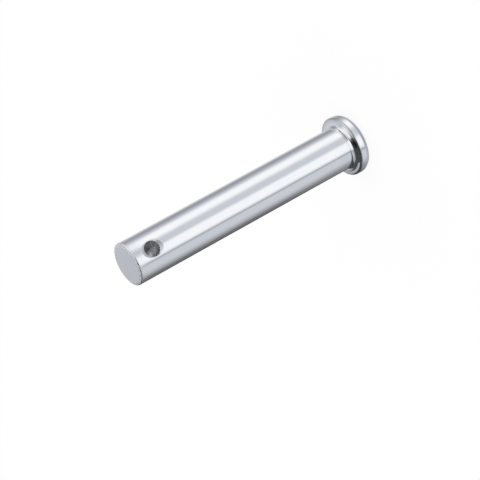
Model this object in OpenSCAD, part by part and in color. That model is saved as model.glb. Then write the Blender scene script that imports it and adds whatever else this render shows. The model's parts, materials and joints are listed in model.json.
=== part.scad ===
// Clevis pin: a round pin with a flat head, and a hole across its free end for a split pin or a clip.
// It stands on its head. Z runs up the middle of the pin, from the head's outer face to the free end,
// and the cross hole runs along Y. Every size is in millimetres.

/* [Shank] */
// Diameter of the shank
shank_d = 10; // [8:0.5:10.5]
// Length of the shank, from the underside of the head to the free end
shank_l = 59.5; // [30:0.5:100]
// How far the chamfer round the free end runs down the shank
point_chamfer = 0.3; // [0.1:0.05:1]
// How far the chamfer round the free end runs in across the end face
point_inset = 0.6; // [0.2:0.1:1]

/* [Head] */
// Diameter of the head
head_d = 14; // [13.5:0.5:20]
// Thickness of the head
head_t = 3; // [2.25:0.25:5]
// Radius of the edge round the head's outer face
crown_edge_r = 1.5; // [0.5:0.1:1.6]
// Radius of the edge round the head's underside
seat_edge_r = 0.5; // [0.1:0.05:0.6]
// How far the fillet between the shank and the head runs up the shank
neck_rise = 0.9; // [0.25:0.05:1.5]
// How far that fillet runs out across the head's underside
neck_run = 0.4; // [0.2:0.05:0.8]

/* [Cross hole] */
// Diameter of the cross hole
hole_d = 3.6; // [2:0.1:4]
// Distance from the free end to the middle of the cross hole
hole_from_end = 4.9; // [4.3:0.1:10]
// Depth of the countersink at each mouth of the cross hole, measured at the crown of the shank
countersink = 0.45; // [0.2:0.05:0.8]
// Angle between opposite sides of the countersink
countersink_angle = 120; // [90:5:120]

/* [Hidden] */
$fn = 128;

shank_r = shank_d / 2;
head_r = head_d / 2;
hole_r = hole_d / 2;
pin_l = head_t + shank_l;
hole_z = pin_l - hole_from_end;

// How far a cutter runs past the surface that it cuts
overrun = 1;
// Bright zinc plate on steel
plate_colour = [0.77, 0.79, 0.82];

// Sharp corner beyond a quarter circle of radius r about the origin, in the quadrant of +X and +Y
module corner_waste(r) {
    difference() {
        square(r + overrun);
        circle(r);
    }
}

// Concave quarter of an ellipse that fills the corner between two walls that meet at the origin
module fillet_section(run, rise) {
    difference() {
        square([run, rise]);
        translate([run, rise]) scale([run / rise, 1]) circle(rise);
    }
}

// Half section of the head, with its two rounded edges
module head_section() {
    difference() {
        square([head_r, head_t]);
        translate([head_r - seat_edge_r, head_t - seat_edge_r]) corner_waste(seat_edge_r);
        translate([head_r - crown_edge_r, crown_edge_r]) mirror([0, 1]) corner_waste(crown_edge_r);
    }
}

// Half section of the shank, from the head's outer face to the chamfered free end
module shank_section() {
    polygon([
        [0, 0],
        [shank_r, 0],
        [shank_r, pin_l - point_chamfer],
        [shank_r - point_inset, pin_l],
        [0, pin_l],
    ]);
}

// Headed blank, turned about Z
module headed_blank() {
    rotate_extrude() {
        head_section();
        shank_section();
        translate([shank_r, head_t]) fillet_section(neck_run, neck_rise);
    }
}

// Countersink at the mouth of a hole that runs along Z and comes out at the crown of the shank
module countersink_cutter() {
    depth = countersink + overrun;
    spread = depth * tan(countersink_angle / 2);
    translate([0, 0, shank_r - countersink]) cylinder(h = depth, r1 = hole_r, r2 = hole_r + spread);
}

// Drill and the two countersinks of the cross hole, along Y
module cross_hole_cutter() {
    translate([0, 0, hole_z]) rotate([90, 0, 0]) {
        cylinder(h = shank_d + 2 * overrun, r = hole_r, center = true);
        countersink_cutter();
        mirror([0, 0, 1]) countersink_cutter();
    }
}

module clevis_pin() {
    color(plate_colour)
    difference() {
        headed_blank();
        cross_hole_cutter();
    }
}

clevis_pin();
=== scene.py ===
import json
import math
from typing import NamedTuple

import bpy
from mathutils import Matrix, Vector


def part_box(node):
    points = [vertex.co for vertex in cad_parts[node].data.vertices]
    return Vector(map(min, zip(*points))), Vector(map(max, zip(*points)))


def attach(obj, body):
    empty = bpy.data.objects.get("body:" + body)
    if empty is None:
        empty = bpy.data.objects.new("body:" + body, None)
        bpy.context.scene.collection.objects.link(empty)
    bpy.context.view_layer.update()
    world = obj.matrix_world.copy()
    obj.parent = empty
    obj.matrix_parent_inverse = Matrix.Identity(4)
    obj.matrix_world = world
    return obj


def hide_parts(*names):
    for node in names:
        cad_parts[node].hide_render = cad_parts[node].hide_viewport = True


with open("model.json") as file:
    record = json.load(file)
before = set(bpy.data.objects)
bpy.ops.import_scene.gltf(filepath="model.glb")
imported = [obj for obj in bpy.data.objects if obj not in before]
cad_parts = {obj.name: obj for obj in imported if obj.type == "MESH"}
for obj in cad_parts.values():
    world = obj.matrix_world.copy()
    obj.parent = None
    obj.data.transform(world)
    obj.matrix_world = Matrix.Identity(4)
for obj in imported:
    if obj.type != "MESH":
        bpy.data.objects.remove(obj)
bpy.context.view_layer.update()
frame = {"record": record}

# Millimetres and thousandths of a millimetre, in Blender's metres
MM = 0.001
MICRON = MM / 1000

NODE = "clevis_pin"

# Sizes that the frame gives
mounts = {mount["name"]: mount for mount in frame["record"]["mounts"]}
PIN_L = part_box(NODE)[1][2]
HEAD_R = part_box(NODE)[1][0]
HEAD_T = mounts["head_seat"]["pos_m"][2]
SHANK_R = mounts["shank"]["dims"]["r_mm"] * MM
HOLE_R = mounts["cross_hole"]["dims"]["r_mm"] * MM
HOLE_Z = mounts["cross_hole"]["pos_m"][2]
BORE_HALF = mounts["cross_hole"]["dims"]["length_mm"] * MM / 2

# Angle between opposite sides of the countersink, and how much it widens for each millimetre outwards
COUNTERSINK_ANGLE = math.radians(120)
COUNTERSINK_SLOPE = math.tan(COUNTERSINK_ANGLE / 2)

# Edges of the turned blank
CROWN_EDGE_R = 1.5 * MM
SEAT_EDGE_R = 0.5 * MM
# Fillet between the shank and the head: a quarter of an ellipse, taller than wide
NECK_RUN = 0.4 * MM
NECK_RISE = 0.9 * MM
# How far the seat's normals lean outwards at the neck, and over what width that fades
SEAT_LEAN = math.radians(10)
SEAT_LEAN_RUN = 0.62 * MM
# Chamfer of the free end, down the shank and in across the end face
POINT_CHAMFER = 0.3 * MM
POINT_INSET = 0.6 * MM
# How far the round of each broken edge runs to either side of it
POINT_BREAK = 0.2 * MM
LIP_BREAK = 0.1 * MM
FOOT_BREAK = 0.05 * MM

# Fineness of the mesh: columns round the pin, and half the columns of the window round each mouth
COLUMNS = 192
WINDOW_HALF = 20
# Steps along each stretch of the half section
CROWN_STEPS = 16
SIDE_STEPS = 4
SEAT_EDGE_STEPS = 8
SEAT_STEPS = 8
NECK_STEPS = 20
SHANK_STEPS = 40
POINT_STEPS = 2
DISC_STEPS = 8
# Steps round a broken edge, from the window to the lip, down the countersink and through the bore
BREAK_STEPS = 6
APRON_STEPS = 10
CONE_STEPS = 4
BORE_STEPS = 24

# Finishes, as places in the list of the pin's materials
FACE, SHANK, RIM, POINT, CONE, BORE = range(6)


class Shell:
    """Vertices with their normals, and the quads and triangles between them with their finishes."""

    def __init__(self):
        self.points = []
        self.normals = []
        self.faces = []
        self.finishes = []

    def add(self, sample):
        point, normal = sample
        self.points.append(point)
        self.normals.append(normal.normalized())
        return len(self.points) - 1

    def ring(self, samples):
        return [self.add(sample) for sample in samples]

    def bridge(self, lower, upper, finish):
        """Quads between two closed rings of as many vertices."""
        count = len(lower)
        for i in range(count):
            j = (i + 1) % count
            self.face((lower[i], lower[j], upper[j], upper[i]), finish)

    def face(self, corners, finish):
        self.faces.append(corners)
        self.finishes.append(finish)

    def mesh(self, name):
        mesh = bpy.data.meshes.new(name)
        mesh.from_pydata(self.points, [], self.faces)
        for polygon, finish in zip(mesh.polygons, self.finishes):
            polygon.material_index = finish
            polygon.use_smooth = True
        mesh.normals_split_custom_set_from_vertices(self.normals)
        return mesh


def steps(low, high, count, ends=True):
    """Evenly spaced values from low to high, or only those between them."""
    picked = range(count + 1) if ends else range(1, count)
    return [low + (high - low) * i / count for i in picked]


def edge_break(corner, size, away, onward, normal_before, normal_after):
    """Round of a sharp corner, from its size along away to its size along onward."""
    samples = []
    for t in steps(0, 1, BREAK_STEPS):
        shift = away * (size * (1 - t) ** 2) + onward * (size * t ** 2)
        samples.append((corner + shift, normal_before.lerp(normal_after, t)))
    return samples


# Half section of the blank, as samples: pairs of a point and its normal, each in (radius, height)
def line(start, end, count, normal):
    """Samples between two points, without the points themselves."""
    start, end = Vector(start), Vector(end)
    return [(start.lerp(end, t), Vector(normal)) for t in steps(0, 1, count, ends=False)]


def arc(centre, across, up, start, end, count, hollow=False):
    """Part of an ellipse with the half axes across and up, from one angle to another in degrees."""
    samples = []
    for angle in steps(math.radians(start), math.radians(end), count):
        c, s = math.cos(angle), math.sin(angle)
        outward = Vector((c / across, s / up)).normalized()
        samples.append((Vector(centre) + Vector((c * across, s * up)), -outward if hollow else outward))
    return samples


def leaned(samples):
    """The seat and the neck, with the seat's normals leaned outwards next to the neck."""
    result = []
    for point, normal in samples:
        share = 1 - (point.x - SHANK_R - NECK_RUN) / SEAT_LEAN_RUN
        lean = SEAT_LEAN * min(1, max(0, share))
        lean = max(lean, math.atan2(normal.x, normal.y))
        result.append((point, Vector((math.sin(lean), math.cos(lean)))))
    return result


def head_profile():
    """From the rim of the head's outer face to the foot of the shank."""
    crown_r = HEAD_R - CROWN_EDGE_R
    seat_r = HEAD_R - SEAT_EDGE_R
    seat_edge_z = HEAD_T - SEAT_EDGE_R
    neck_r = SHANK_R + NECK_RUN
    neck_z = HEAD_T + NECK_RISE
    crown = arc((crown_r, CROWN_EDGE_R), CROWN_EDGE_R, CROWN_EDGE_R, -90, 0, CROWN_STEPS)
    side = line((HEAD_R, CROWN_EDGE_R), (HEAD_R, seat_edge_z), SIDE_STEPS, (1, 0))
    seat_edge = arc((seat_r, seat_edge_z), SEAT_EDGE_R, SEAT_EDGE_R, 0, 90, SEAT_EDGE_STEPS)
    seat = line((seat_r, HEAD_T), (neck_r, HEAD_T), SEAT_STEPS, (0, 1))
    neck = arc((neck_r, neck_z), NECK_RUN, NECK_RISE, -90, -180, NECK_STEPS, hollow=True)
    return crown + side + seat_edge + leaned(seat + neck)


def shank_profile(high):
    """Plain part of the shank, from above the neck up to a height."""
    heights = steps(HEAD_T + NECK_RISE, high, SHANK_STEPS)[1:]
    return [(Vector((SHANK_R, z)), Vector((1, 0))) for z in heights]


def point_profile():
    """Chamfer of the free end: its lower broken edge, and its flat with its upper broken edge."""
    outward, upward = Vector((1, 0)), Vector((0, 1))
    foot = Vector((SHANK_R, PIN_L - POINT_CHAMFER))
    top = Vector((SHANK_R - POINT_INSET, PIN_L))
    slope = (top - foot).normalized()
    slant = Vector((slope.y, -slope.x))
    lower = edge_break(foot, POINT_BREAK, -upward, slope, outward, slant)
    flat = line(foot + slope * POINT_BREAK, top - slope * POINT_BREAK, POINT_STEPS, slant)
    upper = edge_break(top, POINT_BREAK, -slope, -outward, slant, upward)
    return lower, flat + upper


# Turned part of the pin
def turn(sample, column):
    """A sample of the half section, turned to its column round the pin. Column 0 faces -Y."""
    (radius, height), (out, up) = sample
    angle = 2 * math.pi * column / COLUMNS
    x, y = math.sin(angle), -math.cos(angle)
    return Vector((radius * x, radius * y, height)), Vector((out * x, out * y, up))


def turned_ring(shell, sample):
    return shell.ring(turn(sample, c) for c in range(COLUMNS))


def turned_rings(shell, profile, finish):
    """Rings of the profile, turned about Z and bridged. Returns the first and the last."""
    rings = [turned_ring(shell, sample) for sample in profile]
    for lower, upper in zip(rings, rings[1:]):
        shell.bridge(lower, upper, finish)
    return rings[0], rings[-1]


def disc(shell, rim, rim_r, height, up):
    """Flat face inside a ring, as smaller rings round a point in the middle. Up is 1, or -1 for down."""
    outer = rim
    for radius in steps(rim_r, 0, DISC_STEPS, ends=False):
        inner = turned_ring(shell, (Vector((radius, height)), Vector((0, up))))
        lower, upper = (outer, inner) if up > 0 else (inner, outer)
        shell.bridge(lower, upper, FACE)
        outer = inner
    middle = shell.add((Vector((0, 0, height)), Vector((0, 0, up))))
    for c in range(COLUMNS):
        pair = (outer[c], outer[(c + 1) % COLUMNS])
        shell.face((*pair, middle) if up > 0 else (*reversed(pair), middle), FACE)


# Cross hole, with its mouths in windows of the shank's grid
def lip_radius(across):
    """Distance from the hole's axis at which the countersink comes out of the round shank."""
    reach = HOLE_R - COUNTERSINK_SLOPE * BORE_HALF
    spread = 1 + (COUNTERSINK_SLOPE * across) ** 2
    gap = reach ** 2 - (COUNTERSINK_SLOPE * SHANK_R) ** 2
    return (reach + math.sqrt(reach ** 2 - spread * gap)) / spread


def mouth_edges(angles):
    """Broken edges of the mouth at -Y: for each angle the lip's samples, and the foot's samples."""
    lips, feet = [], []
    inward = Vector((0, 1, 0))
    for angle in angles:
        across, along = math.cos(angle), math.sin(angle)
        radial = Vector((across, 0, along))
        lip_r = lip_radius(across)
        depth = math.sqrt(SHANK_R ** 2 - (lip_r * across) ** 2)
        lip = Vector((lip_r * across, -depth, HOLE_Z + lip_r * along))
        foot = Vector((HOLE_R * across, -BORE_HALF, HOLE_Z + HOLE_R * along))
        slant = (lip - foot).length
        skin = Vector((lip.x, lip.y, 0)).normalized()
        away = (radial - skin * radial.dot(skin)).normalized()
        down = (inward - radial * COUNTERSINK_SLOPE).normalized()
        cone = -(radial + inward * COUNTERSINK_SLOPE).normalized()
        # Where the countersink is narrow, its broken edges leave part of it flat
        lips.append(edge_break(lip, min(LIP_BREAK, slant / 2), away, down, skin, cone))
        feet.append(edge_break(foot, min(FOOT_BREAK, slant / 4), -down, inward, cone, -radial))
    return lips, feet


def apron(window, edge, t):
    """Ring on the shank's skin, part of the way from the window to the lip of the countersink."""
    ring = []
    for (arc_x, height), lip in zip(window, edge):
        angle = (arc_x / SHANK_R) * (1 - t) + math.asin(lip.x / SHANK_R) * t
        normal = Vector((math.sin(angle), -math.cos(angle), 0))
        ring.append((normal * SHANK_R + Vector((0, 0, height * (1 - t) + lip.z * t)), normal))
    return ring


def mouth_rings(window):
    """Rings from the window at -Y to the wall of the bore, and the finish of the band up to each."""
    angles = [math.atan2(height - HOLE_Z, arc_x) for arc_x, height in window]
    lips, feet = mouth_edges(angles)
    edge = [samples[0][0] for samples in lips]
    rings = [apron(window, edge, t) for t in steps(0, 1, APRON_STEPS, ends=False)]
    finishes = [SHANK] * (len(rings) + 1)
    rings += zip(*lips)
    for t in steps(0, 1, CONE_STEPS, ends=False):
        rings.append([(lip[-1][0].lerp(foot[0][0], t), lip[-1][1]) for lip, foot in zip(lips, feet)])
    rings += zip(*feet)
    finishes += [CONE] * (len(rings) - len(finishes))
    return [list(ring) for ring in rings], finishes


def mirrored(ring):
    """The ring's place at the other mouth."""
    flip = Matrix.Diagonal((1, -1, 1))
    return [(flip @ point, flip @ normal) for point, normal in ring]


def from_mouth(column):
    """Columns between this one and the middle of the nearer mouth."""
    half = COLUMNS // 2
    return abs((column + half // 2) % half - half // 2)


def in_window(column):
    """Whether a column crosses the inside of a window."""
    return from_mouth(column) < WINDOW_HALF


def cell_in_window(column, following):
    """Whether the cells between two neighbouring columns lie in a window."""
    return from_mouth(column) <= WINDOW_HALF and from_mouth(following) <= WINDOW_HALF


def window_cells():
    """Grid places round a window, counter-clockwise from its lower left corner, as (column, row)."""
    half, rows = WINDOW_HALF, 2 * WINDOW_HALF
    bottom = [(c, 0) for c in range(-half, half)]
    right = [(half, row) for row in range(rows)]
    top = [(c, rows) for c in range(half, -half, -1)]
    left = [(-half, row) for row in range(rows, 0, -1)]
    return bottom + right + top + left


def shank_band(shell, first, low, high):
    """Grid round the shank, with a square window left open round each mouth of the cross hole."""
    half_cell = (high - low) / (4 * WINDOW_HALF)
    band = [first]
    for z in steps(low, high, 2 * WINDOW_HALF)[1:]:
        sample = (Vector((SHANK_R, z)), Vector((1, 0)))
        open_row = z < high - half_cell
        band.append([
            None if open_row and in_window(c) else shell.add(turn(sample, c)) for c in range(COLUMNS)
        ])
    for lower, upper in zip(band, band[1:]):
        for c in range(COLUMNS):
            d = (c + 1) % COLUMNS
            if not cell_in_window(c, d):
                shell.face((lower[c], lower[d], upper[d], upper[c]), SHANK)
    return band


def cross_hole(shell, band, low, column_width):
    """One tunnel of rings, from the window at -Y to the one at +Y."""
    cells = window_cells()
    window = [(c * column_width, low + row * column_width) for c, row in cells]
    mouth, finishes = mouth_rings(window)
    wall = mouth[-1]
    depth = wall[0][0].y
    bore = [
        [(Vector((point.x, y, point.z)), normal) for point, normal in wall]
        for y in steps(depth, -depth, BORE_STEPS, ends=False)
    ]
    tunnel = [[band[row][c % COLUMNS] for c, row in cells]]
    tunnel += [shell.ring(ring) for ring in mouth + bore]
    tunnel += [shell.ring(mirrored(ring)) for ring in reversed(mouth)]
    tunnel.append([band[row][(COLUMNS // 2 - c) % COLUMNS] for c, row in cells])
    bands = finishes + [BORE] * (len(bore) + 1) + finishes[::-1]
    for outer, inner, finish in zip(tunnel, tunnel[1:], bands):
        shell.bridge(outer, inner, finish)


def pin_shell():
    """The whole surface of the pin."""
    shell = Shell()
    column_width = 2 * math.pi * SHANK_R / COLUMNS
    low = HOLE_Z - WINDOW_HALF * column_width
    high = HOLE_Z + WINDOW_HALF * column_width

    crown, neck = turned_rings(shell, head_profile(), FACE)
    disc(shell, crown, HEAD_R - CROWN_EDGE_R, 0, -1)

    first, last = turned_rings(shell, shank_profile(low), SHANK)
    shell.bridge(neck, first, SHANK)

    band = shank_band(shell, last, low, high)
    cross_hole(shell, band, low, column_width)

    lower_edge, chamfer = point_profile()
    foot, edge_end = turned_rings(shell, lower_edge, RIM)
    start, rim = turned_rings(shell, chamfer, POINT)
    shell.bridge(band[-1], foot, SHANK)
    shell.bridge(edge_end, start, POINT)
    disc(shell, rim, SHANK_R - POINT_INSET - POINT_BREAK, PIN_L, 1)
    return shell


# Materials
def grey(level, tint=(1, 1, 1)):
    """A grey, or a share of a tint, as a colour for a socket."""
    return (*(level * part for part in tint), 1)


# Places of the Mix node's sockets for colours
MIX_FIRST, MIX_SECOND, MIX_RESULT = 6, 7, 2


class Graph:
    """Short calls for the nodes of a material or of the world."""

    def __init__(self, tree):
        self.tree = tree
        tree.nodes.clear()

    def node(self, kind, sockets=None, **settings):
        node = self.tree.nodes.new(kind)
        for name, value in settings.items():
            setattr(node, name, value)
        for name, value in (sockets or {}).items():
            self.feed(node.inputs[name], value)
        return node

    def feed(self, socket, value):
        if isinstance(value, bpy.types.NodeSocket):
            self.tree.links.new(value, socket)
        else:
            socket.default_value = value

    def math(self, operation, *values):
        node = self.node("ShaderNodeMath", operation=operation)
        for socket, value in zip(node.inputs, values):
            self.feed(socket, value)
        return node.outputs[0]

    def plus(self, base, value, share):
        """The base with a share of the value added."""
        return self.math("ADD", base, self.math("MULTIPLY", value, share))

    def vector(self, *parts):
        return self.node("ShaderNodeCombineXYZ", dict(zip("XYZ", parts))).outputs[0]

    def parts(self, vector):
        return self.node("ShaderNodeSeparateXYZ", {"Vector": vector}).outputs

    def length(self, *parts):
        squares = [self.math("MULTIPLY", part, part) for part in parts]
        total = squares[0]
        for square in squares[1:]:
            total = self.math("ADD", total, square)
        return self.math("SQRT", total)

    def fade(self, value, start, end, low=0.0, high=1.0):
        """Smooth change from low, where the value is at start, to high, where it is at end."""
        sockets = {"Value": value, "From Min": start, "From Max": end, "To Min": low, "To Max": high}
        return self.node("ShaderNodeMapRange", sockets, interpolation_type="SMOOTHSTEP").outputs[0]

    def mix(self, factor, first, second):
        """The first colour at factor 0, and the second at 1."""
        node = self.node("ShaderNodeMix", data_type="RGBA")
        self.feed(node.inputs[0], factor)
        self.feed(node.inputs[MIX_FIRST], first)
        self.feed(node.inputs[MIX_SECOND], second)
        return node.outputs[MIX_RESULT]

    def cover(self, colour, mask, share, over):
        """A colour with another laid over it, by a share of the mask."""
        return self.mix(self.math("MULTIPLY", mask, share), colour, over)

    def noise(self, place, scale, detail=4.0, roughness=0.5, distortion=0.0):
        node = self.node("ShaderNodeTexNoise", {
            "Vector": place, "Scale": scale,
            "Detail": detail, "Roughness": roughness, "Distortion": distortion,
        })
        return node.outputs[0]


# Fineness of the plate's patterns, in repeats to a millimetre
TOOL_MARKS = 5.5
TOOL_WAVES = 0.9
MARK_BREAKS = 0.6
GRAIN = 14.0
PITS = 0.9
WEAR = 2.2
# Patches of the painted shade along the head's seat edge
SEAT_SHADE_PATCHES = 1.4
CLOUDS = 0.22
SATIN = 0.5
BLOTCHES = 2.4
# Lines of the drawn bar: how fine they are on a circle of radius 1, and how slowly they drift along Z
DRAWN_LINES = 14.0
DRAWN_DRIFT = 0.004

# Heights of those patterns, where the tool marks are 1 high
WAVE_HEIGHT = 1.6
GRAIN_HEIGHT = 0.12
PIT_DEPTH = 0.8
# Where a pit's edge starts and ends, in cells from the pit's middle
PIT_REACH = (0.09, 0.03)

# Plating as it reflects straight on, in its cooler and its warmer clouds
ZINC_COOL = (0.840, 0.862, 0.897)
ZINC_WARM = (0.865, 0.875, 0.895)
# What wear, pits, the painted shade at the seat edge and blotches look like, and how far that covers the
# plating
WORN_COLOUR = grey(1.0, (0.90, 0.905, 0.915))
WORN_COVER = 0.6
PIT_COLOUR = grey(0.45)
PIT_COVER = 0.35
SEAT_SHADE_COLOUR = grey(0.46, (0.98, 1.0, 1.03))
SEAT_SHADE_COVER = 0.75
BLOTCH_LEVEL = 0.45
BLOTCH_COVER = 0.5

# Edges that hands and tools touch, as places in the half section, and the head's inner edge with painted
# shade
WORN_EDGES = (
    (HEAD_R, CROWN_EDGE_R),
    (HEAD_R - CROWN_EDGE_R, 0),
    (SHANK_R, PIN_L - POINT_CHAMFER),
    (SHANK_R - POINT_INSET, PIN_L),
)
SHADED_SEAT_EDGE = (HEAD_R, HEAD_T)
# Millimetres from the edge at which wear or the painted shade starts, and at which it is full
WEAR_REACH = (0.35, 0.05)
SEAT_SHADE_REACH = (0.6, 0.3)

# Roughness of the brighter and the duller clouds, and what wear takes off, as shares of the finish's own
SATIN_RANGE = (0.8, 1.25)
WORN_SHINE = 0.3
# Roughness added where the seat-edge shade is painted, and that handling adds near the free end
SEAT_SHADE_ROUGHNESS = 0.2
HANDLED_ROUGHNESS = 0.14
# Millimetres from the free end at which the traces of handling start, and at which they are full
HANDLED_START = 4.5
HANDLED_FULL = 0.5


class Plate(Graph):
    """The nodes of one finish, with places on the pin in millimetres.

    Where a noise is faded, the first two numbers are its levels at which the pattern starts and is full.
    """

    def __init__(self, tree, about_hole):
        super().__init__(tree)
        scale = self.node("ShaderNodeVectorMath", {"Scale": 1 / MM}, operation="SCALE")
        self.feed(scale.inputs[0], self.node("ShaderNodeTexCoord").outputs["Object"])
        self.place = scale.outputs[0]
        self.x, self.y, self.z = self.parts(self.place)
        self.radius = self.length(self.x, self.y)
        # Tool marks run round an axis, so they change only with the distance from it and along it
        if about_hole:
            from_axis = self.length(self.x, self.math("SUBTRACT", self.z, HOLE_Z / MM))
            self.section = self.vector(from_axis, self.y, 0.0)
        else:
            self.section = self.vector(self.radius, self.z, 0.0)

    def near_edge(self, edge, start, full):
        """0 farther than start from an edge of the half section, and 1 nearer than full."""
        off_r = self.math("SUBTRACT", self.radius, edge[0] / MM)
        off_z = self.math("SUBTRACT", self.z, edge[1] / MM)
        return self.fade(self.length(off_r, off_z), start, full)

    def tool_marks(self):
        """Height of the turned or drilled marks: circles, broken up a little along their length."""
        fine = self.noise(self.section, TOOL_MARKS, detail=3.0, roughness=0.65)
        breaks = self.noise(self.place, MARK_BREAKS, detail=3.0)
        marks = self.math("MULTIPLY", fine, self.fade(breaks, 0.3, 0.7, 0.55, 1.0))
        marks = self.plus(marks, self.noise(self.section, TOOL_WAVES, detail=1.0), WAVE_HEIGHT)
        return self.plus(marks, self.noise(self.place, GRAIN, detail=2.0), GRAIN_HEIGHT)

    def drawn_lines(self):
        """Height of fine lines along the pin, as drawn bar has."""
        angle = self.math("ARCTAN2", self.y, self.x)
        drift = self.math("MULTIPLY", self.z, DRAWN_DRIFT)
        around = self.vector(self.math("SINE", angle), self.math("COSINE", angle), drift)
        return self.noise(around, DRAWN_LINES, detail=3.0, roughness=0.6)

    def pits(self):
        """1 in the small pits of the plate."""
        cells = self.node("ShaderNodeTexVoronoi", {"Vector": self.place, "Scale": PITS, "Randomness": 1.0})
        return self.fade(cells.outputs["Distance"], *PIT_REACH)

    def wear(self):
        """1 where hands and tools have rubbed an edge."""
        worn = 0.0
        for edge in WORN_EDGES:
            worn = self.math("MAXIMUM", self.near_edge(edge, *WEAR_REACH), worn)
        return self.math("MULTIPLY", worn, self.fade(self.noise(self.place, WEAR), 0.35, 0.62))

    def painted_seat_shade(self):
        """1 in a patchy band along the head's inner edge, at the seat, where dark shade is painted."""
        patches = self.fade(self.noise(self.place, SEAT_SHADE_PATCHES), 0.3, 0.7, 0.8, 1.0)
        return self.math("MULTIPLY", self.near_edge(SHADED_SEAT_EDGE, *SEAT_SHADE_REACH), patches)

    def clouds(self, shade):
        """Colour of the plate in its cooler and warmer clouds."""
        clouds = self.fade(self.noise(self.place, CLOUDS, distortion=0.6), 0.38, 0.62)
        return self.mix(clouds, grey(shade, ZINC_COOL), grey(shade, ZINC_WARM))

    def satin(self, roughness):
        """Roughness of the plate in its brighter and duller clouds, with the traces of handling."""
        low, high = (roughness * share for share in SATIN_RANGE)
        satin = self.fade(self.noise(self.place, SATIN), 0.35, 0.65, low, high)
        handled = self.fade(self.z, PIN_L / MM - HANDLED_START, PIN_L / MM - HANDLED_FULL)
        return self.plus(satin, handled, HANDLED_ROUGHNESS)

    def blotches(self):
        """1 in the dull and dark blotches of the bore's wall."""
        return self.fade(self.noise(self.place, BLOTCHES, detail=5.0, roughness=0.62), 0.40, 0.60)


def zinc(name, about_hole=False, roughness=0.08, metallic=1.0, shade=1.0, mark_depth=0.4, mottle=0.0,
         streaks=0.0):
    """Bright zinc plate with tool marks about the pin's axis, or about the cross hole's.

    Mark depth is in thousandths of a millimetre. Mottle adds rougher and darker blotches, and streaks add
    the lines of the drawn bar.
    """
    material = bpy.data.materials.new(name)
    material.use_nodes = True
    plate = Plate(material.node_tree, about_hole)
    pits, wear, painted_seat_shade = plate.pits(), plate.wear(), plate.painted_seat_shade()

    height = plate.tool_marks()
    if streaks:
        height = plate.plus(height, plate.drawn_lines(), streaks)
    height = plate.plus(height, pits, -PIT_DEPTH)
    bump = plate.node("ShaderNodeBump", {
        "Height": height, "Strength": 1.0, "Distance": mark_depth * MICRON,
    })

    colour = plate.clouds(shade)
    colour = plate.cover(colour, wear, WORN_COVER, WORN_COLOUR)
    colour = plate.cover(colour, pits, PIT_COVER, PIT_COLOUR)
    # Painted shade: a dark patchy band laid over the plating along the head's inner edge, at the seat
    colour = plate.cover(colour, painted_seat_shade, SEAT_SHADE_COVER, SEAT_SHADE_COLOUR)
    gloss = plate.satin(roughness)
    if mottle:
        blotches = plate.blotches()
        colour = plate.cover(colour, blotches, BLOTCH_COVER, grey(shade * BLOTCH_LEVEL))
        gloss = plate.plus(gloss, blotches, mottle)
    gloss = plate.plus(gloss, wear, -WORN_SHINE * roughness)
    gloss = plate.plus(gloss, painted_seat_shade, SEAT_SHADE_ROUGHNESS)

    shader = plate.node("ShaderNodeBsdfPrincipled", {
        "Base Color": colour, "Metallic": metallic, "Roughness": gloss, "Normal": bump.outputs[0],
    })
    plate.node("ShaderNodeOutputMaterial", {"Surface": shader.outputs[0]})
    return material


def pin_materials():
    """The material of each finish, in the order of the finishes."""
    return {
        FACE: zinc("zinc_turned", mark_depth=0.5),
        SHANK: zinc("zinc_shank", mark_depth=0.35, streaks=1.2),
        RIM: zinc("zinc_rim", roughness=0.3, mark_depth=0.4),
        POINT: zinc("zinc_point", roughness=0.8, metallic=0.82, mark_depth=0.4),
        CONE: zinc("zinc_countersink", about_hole=True, roughness=0.3, metallic=0.8, mark_depth=0.8),
        # The bore's plate is painted darker than the rest of the pin, as painted shade inside the hole
        BORE: zinc("zinc_bore", about_hole=True, roughness=0.4, shade=0.88, mark_depth=4.0, mottle=0.1),
    }


def make_pin():
    pin = bpy.data.objects.new("pin_body", pin_shell().mesh("pin_body"))
    bpy.context.scene.collection.objects.link(pin)
    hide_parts(NODE)
    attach(pin, "root")
    for material in pin_materials().values():
        pin.data.materials.append(material)


# Studio round the pin, which only the metal sees
class Panel(NamedTuple):
    """Soft panel on a sphere round the pin, with all but its colour in degrees.

    Azimuth is that of its middle, from -Y towards +X. Low and high are the elevations of its ends. The
    blurs say how far its sides and its ends fade to either side.
    """

    azimuth: float
    half_width: float
    low: float
    high: float
    side_blur: float
    end_blur: float
    colour: tuple


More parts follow.
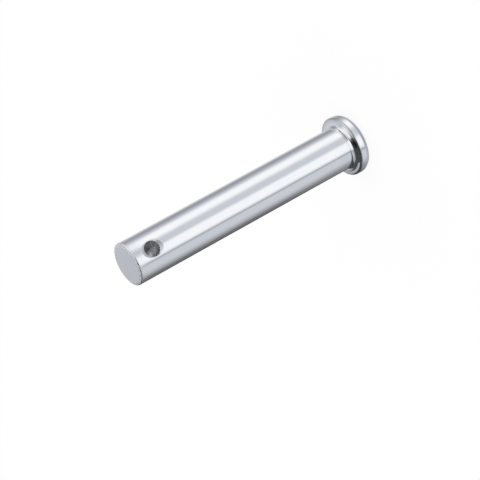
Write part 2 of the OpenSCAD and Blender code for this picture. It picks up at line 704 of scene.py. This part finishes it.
# Each panel lies over those before it. Left is towards -X and right towards +X, as seen from -Y
COOL = (0.965, 1.0, 1.05)
SURROUND = grey(0.68, COOL)
PANELS = {
    "low_surround": Panel(0, 180, -90, -42, 10, 7, grey(0.50, COOL)),
    "low_core": Panel(-5, 100, -95, -66, 30, 12, grey(0.36, COOL)),
    "left_flank": Panel(-138, 27, -44, 4, 31, 8, grey(0.15)),
    "low_back": Panel(-168, 21, -46, -2, 6, 8, grey(0.135)),
    "low_edge": Panel(-176, 17, -46, -2, 6, 8, grey(0.06)),
    "left_low": Panel(-137, 22, -60, -31, 22, 4, grey(0.50, COOL)),
    "left_veil": Panel(-70, 26, -4, 40, 12, 16, grey(0.33)),
    "left_wall": Panel(-132, 34, -2, 32, 25, 7, grey(0.055)),
    "right_edge": Panel(160, 16, -42, -8, 12, 7, grey(0.77)),
    "right_gap": Panel(116, 18, -44, 24, 18, 8, grey(0.36, COOL)),
    "left_box": Panel(-19.5, 21.5, -42, 22, 9, 6, grey(1.06)),
    "right_box": Panel(60, 20, -42, 22, 13, 6, grey(1.075)),
    "left_gap": Panel(-50.5, 3, -42, 22, 5, 6, grey(0.40, COOL)),
    "right_veil": Panel(30, 21, 4, 34, 10, 7, grey(0.62)),
    "far_veil": Panel(70, 22, 4, 24, 12, 7, grey(0.95)),
    "right_band": Panel(46, 34, -17, 0, 8, 4, grey(0.20)),
    "upper_flag": Panel(-70, 90, 25, 95, 22, 7, grey(0.075)),
    "back_flag": Panel(-167.2, 17.3, -14, 95, 4, 8, grey(0.075)),
    "upper_flag_core": Panel(-32, 22, 25, 78, 12, 8, grey(0.012)),
    "upper_box": Panel(70, 24, 17, 78, 16, 7, grey(1.06)),
    "behind": Panel(178, 10, 6, 27, 3, 3, grey(0.605, COOL)),
}

# White ceiling over the +X side, and where it fades in, as the direction's X and its elevation
CEILING = grey(1.06)
CEILING_X = (0.07, 0.26)
CEILING_ELEVATION = (40, 54)


def panel_mask(graph, level_x, level_y, elevation, panel):
    """1 in the panel and 0 off it, for the direction with this level part and elevation."""
    turned = math.radians(panel.azimuth)
    facing = graph.math("SUBTRACT", graph.math("MULTIPLY", level_x, math.sin(turned)),
                        graph.math("MULTIPLY", level_y, math.cos(turned)))
    away = graph.math("DEGREES", graph.math("ARCCOSINE", facing))
    mask = graph.fade(away, panel.half_width + panel.side_blur, panel.half_width - panel.side_blur)
    above = graph.fade(elevation, panel.low - panel.end_blur, panel.low + panel.end_blur)
    below = graph.fade(elevation, panel.high + panel.end_blur, panel.high - panel.end_blur)
    return graph.math("MULTIPLY", graph.math("MULTIPLY", mask, above), below)


def make_world():
    """White to the camera and to plain surfaces, and the studio to the metal."""
    world = bpy.data.worlds.new("studio")
    world.use_nodes = True
    world.cycles.sampling_method = "NONE"
    graph = Graph(world.node_tree)
    x, y, z = graph.parts(graph.node("ShaderNodeTexCoord").outputs["Generated"])
    level = graph.length(x, y)
    level_x = graph.math("DIVIDE", x, level)
    level_y = graph.math("DIVIDE", y, level)
    elevation = graph.math("DEGREES", graph.math("ARCTAN2", z, level))
    colour = SURROUND
    for panel in PANELS.values():
        colour = graph.mix(panel_mask(graph, level_x, level_y, elevation, panel), colour, panel.colour)
    overhead = graph.math("MULTIPLY", graph.fade(x, *CEILING_X), graph.fade(elevation, *CEILING_ELEVATION))
    colour = graph.mix(overhead, colour, CEILING)
    seen_by_metal = graph.node("ShaderNodeLightPath").outputs["Is Glossy Ray"]
    colour = graph.mix(seen_by_metal, grey(1), colour)
    background = graph.node("ShaderNodeBackground", {"Color": colour, "Strength": 1.0})
    graph.node("ShaderNodeOutputWorld", {"Surface": background.outputs[0]})
    bpy.context.scene.world = world


# Floor: half its side in metres, its white, and how much of that white the pin can shade to the camera
FLOOR_HALF = 4.0
FLOOR_WHITE = 0.9
FLOOR_SHADED = 0.135


def floor_material():
    """Pale floor, which shows white to the camera but for the pin's faint soft shadow."""
    material = bpy.data.materials.new("floor")
    material.use_nodes = True
    graph = Graph(material.node_tree)
    plain = graph.node("ShaderNodeBsdfDiffuse", {"Color": grey(FLOOR_WHITE)})
    shaded = graph.node("ShaderNodeBsdfDiffuse", {"Color": grey(FLOOR_SHADED)})
    lift = graph.node("ShaderNodeEmission", {"Color": grey(1), "Strength": 1 - FLOOR_SHADED})
    shown = graph.node("ShaderNodeAddShader")
    graph.feed(shown.inputs[0], shaded.outputs[0])
    graph.feed(shown.inputs[1], lift.outputs[0])
    surface = graph.node("ShaderNodeMixShader")
    graph.feed(surface.inputs[0], graph.node("ShaderNodeLightPath").outputs["Is Camera Ray"])
    graph.feed(surface.inputs[1], plain.outputs[0])
    graph.feed(surface.inputs[2], shown.outputs[0])
    graph.node("ShaderNodeOutputMaterial", {"Surface": surface.outputs[0]})
    return material


def make_floor():
    corners = [(x * FLOOR_HALF, y * FLOOR_HALF, 0) for x, y in ((-1, -1), (1, -1), (1, 1), (-1, 1))]
    mesh = bpy.data.meshes.new("floor")
    mesh.from_pydata(corners, [], [(0, 1, 2, 3)])
    mesh.materials.append(floor_material())
    floor = bpy.data.objects.new("floor", mesh)
    floor.visible_glossy = False
    bpy.context.scene.collection.objects.link(floor)


# Camera, as the photograph looks at the pin. Its angles are in degrees, with azimuth from -Y towards +X
CAMERA_AZIMUTH = -4.935
CAMERA_ELEVATION = 26.36
CAMERA_ROLL = -119.289
CAMERA_DISTANCE = 461.13 * MM
CAMERA_TARGET = Vector((-6.808, 3.12, 35.092)) * MM
CAMERA_LENS = 158.49


def make_camera():
    azimuth, elevation = math.radians(CAMERA_AZIMUTH), math.radians(CAMERA_ELEVATION)
    level = math.cos(elevation)
    back = Vector((math.sin(azimuth) * level, -math.cos(azimuth) * level, math.sin(elevation)))
    data = bpy.data.cameras.new("camera")
    data.lens = CAMERA_LENS
    data.clip_start = 0.01
    data.clip_end = 100
    camera = bpy.data.objects.new("camera", data)
    upright = (-back).to_track_quat("-Z", "Y").to_matrix().to_4x4()
    roll = Matrix.Rotation(math.radians(CAMERA_ROLL), 4, "Z")
    camera.matrix_world = Matrix.Translation(CAMERA_TARGET + back * CAMERA_DISTANCE) @ upright @ roll
    bpy.context.scene.collection.objects.link(camera)
    bpy.context.scene.camera = camera


make_pin()
make_world()
make_floor()
make_camera()
bpy.context.scene.view_settings.view_transform = "Standard"
